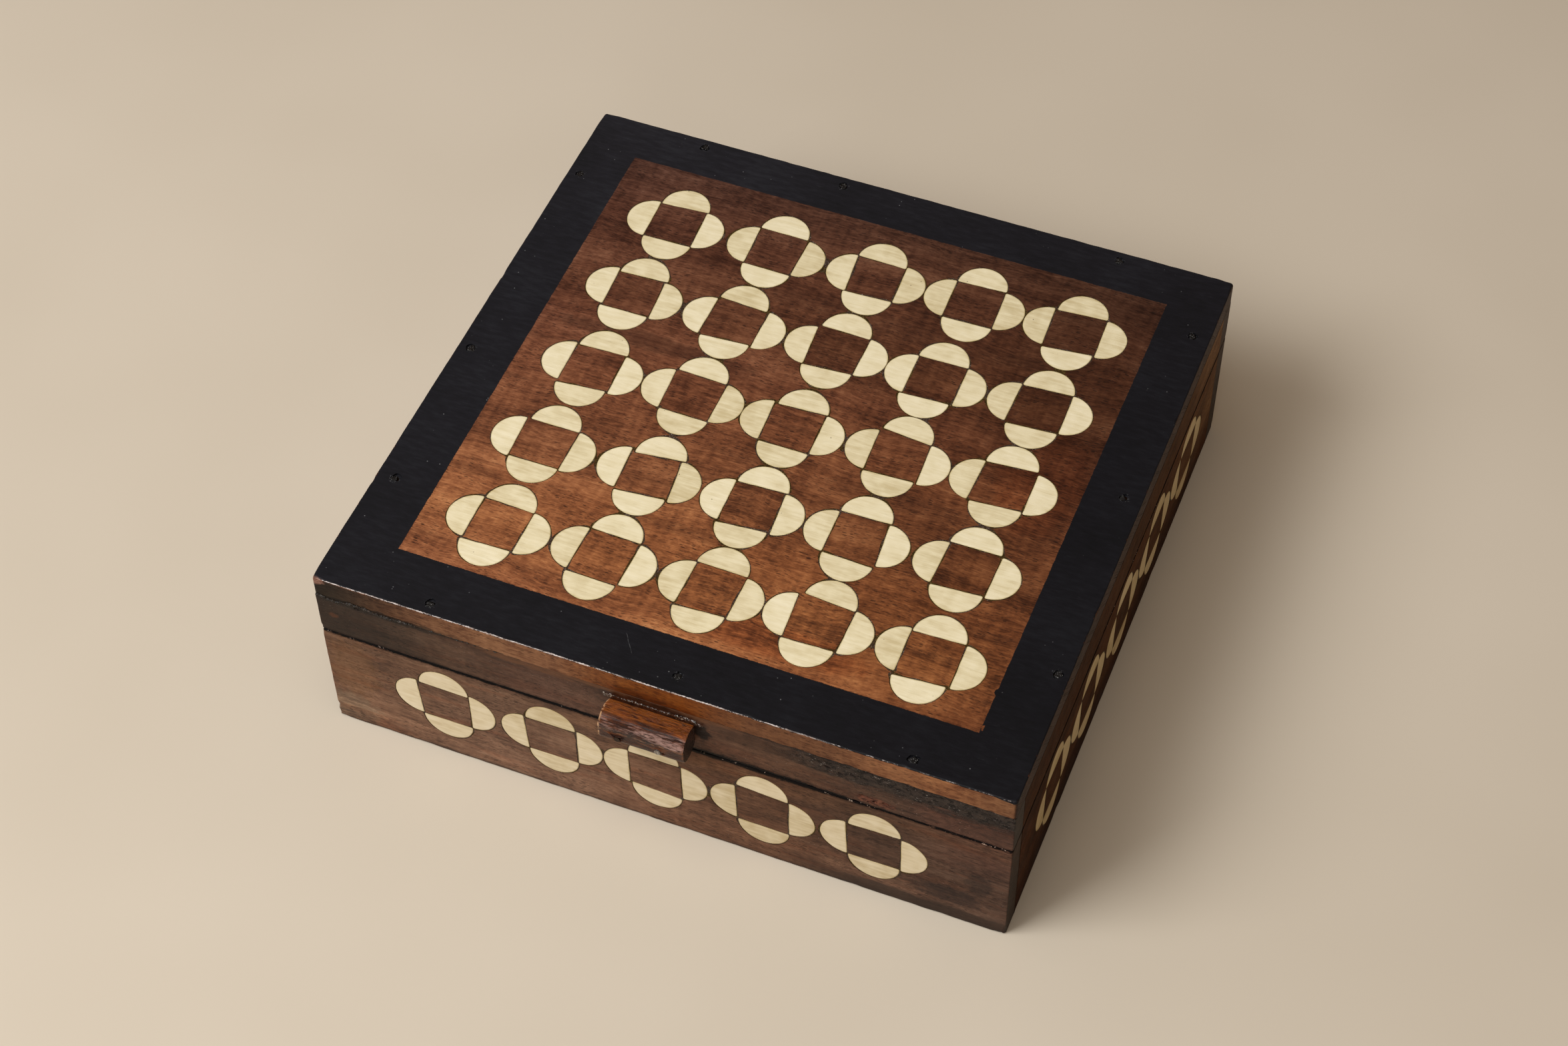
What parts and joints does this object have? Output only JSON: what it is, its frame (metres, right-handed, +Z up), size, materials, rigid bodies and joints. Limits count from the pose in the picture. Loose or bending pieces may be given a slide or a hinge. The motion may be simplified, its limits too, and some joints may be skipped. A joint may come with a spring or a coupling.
{
  "type": "inlaid wooden box with hinged lid",
  "caption": "Square wooden box with a hinged lid, a black-bordered top and rows of pale four-petal inlay on the lid and sides, opened by a small half-round pull.",
  "frame": {"origin": "centre of the box's footprint, on the underside", "axes": "+Z up, -Y towards the front where the pull is, +X to the right seen from the front; the hinge line is at the back, parallel to X"},
  "size_m": [0.254, 0.2628, 0.0805],
  "materials": {
    "lid_wood": "oiled reddish brown hardwood with dark pores, its border painted satin black by hand",
    "box_wood": "oiled medium brown hardwood with short dark pores",
    "panel_wood": "plain unfinished board",
    "inlay_wood": "pale cream close-grained wood, flush and lightly waxed",
    "pull_wood": "dark brown wood under a thick glossy coat of old varnish",
    "hinge_brass": "dull aged brass",
    "screw_brass": "slotted brass heads, worn",
    "steel_pins": "bright steel, tarnished dark in places"
  },
  "bodies": {
    "box": {"front_wall": "box_wood", "back_wall": "box_wood", "left_wall": "box_wood", "right_wall": "box_wood", "bottom_panel": "panel_wood", "front_inlay": "inlay_wood", "right_inlay": "inlay_wood", "left_inlay": "inlay_wood", "back_inlay": "inlay_wood", "box_corner_pins": "steel_pins", "bottom_brads": "steel_pins", "left_hinge_box_leaf": "hinge_brass", "right_hinge_box_leaf": "hinge_brass", "left_hinge_pin": "steel_pins", "right_hinge_pin": "steel_pins", "hinge_box_screws": "screw_brass"},
    "lid": {"lid_top_panel": "lid_wood", "lid_rim_front": "box_wood", "lid_rim_back": "box_wood", "lid_rim_left": "box_wood", "lid_rim_right": "box_wood", "lid_inlay_row_1": "inlay_wood", "lid_inlay_row_2": "inlay_wood", "lid_inlay_row_3": "inlay_wood", "lid_inlay_row_4": "inlay_wood", "lid_inlay_row_5": "inlay_wood", "lid_pull": "pull_wood", "pull_nails": "steel_pins", "lid_top_pins": "steel_pins", "rim_corner_pins": "steel_pins", "left_hinge_lid_leaf": "hinge_brass", "right_hinge_lid_leaf": "hinge_brass", "hinge_lid_screws": "screw_brass"}
  },
  "joints": [
    {"name": "lid_hinge", "type": "hinge", "parent": "box", "child": "lid", "pos_m": [0, 0.1261, 0.0517], "axis": [-1, 0, 0], "range_deg": [0, 185]}
  ]
}
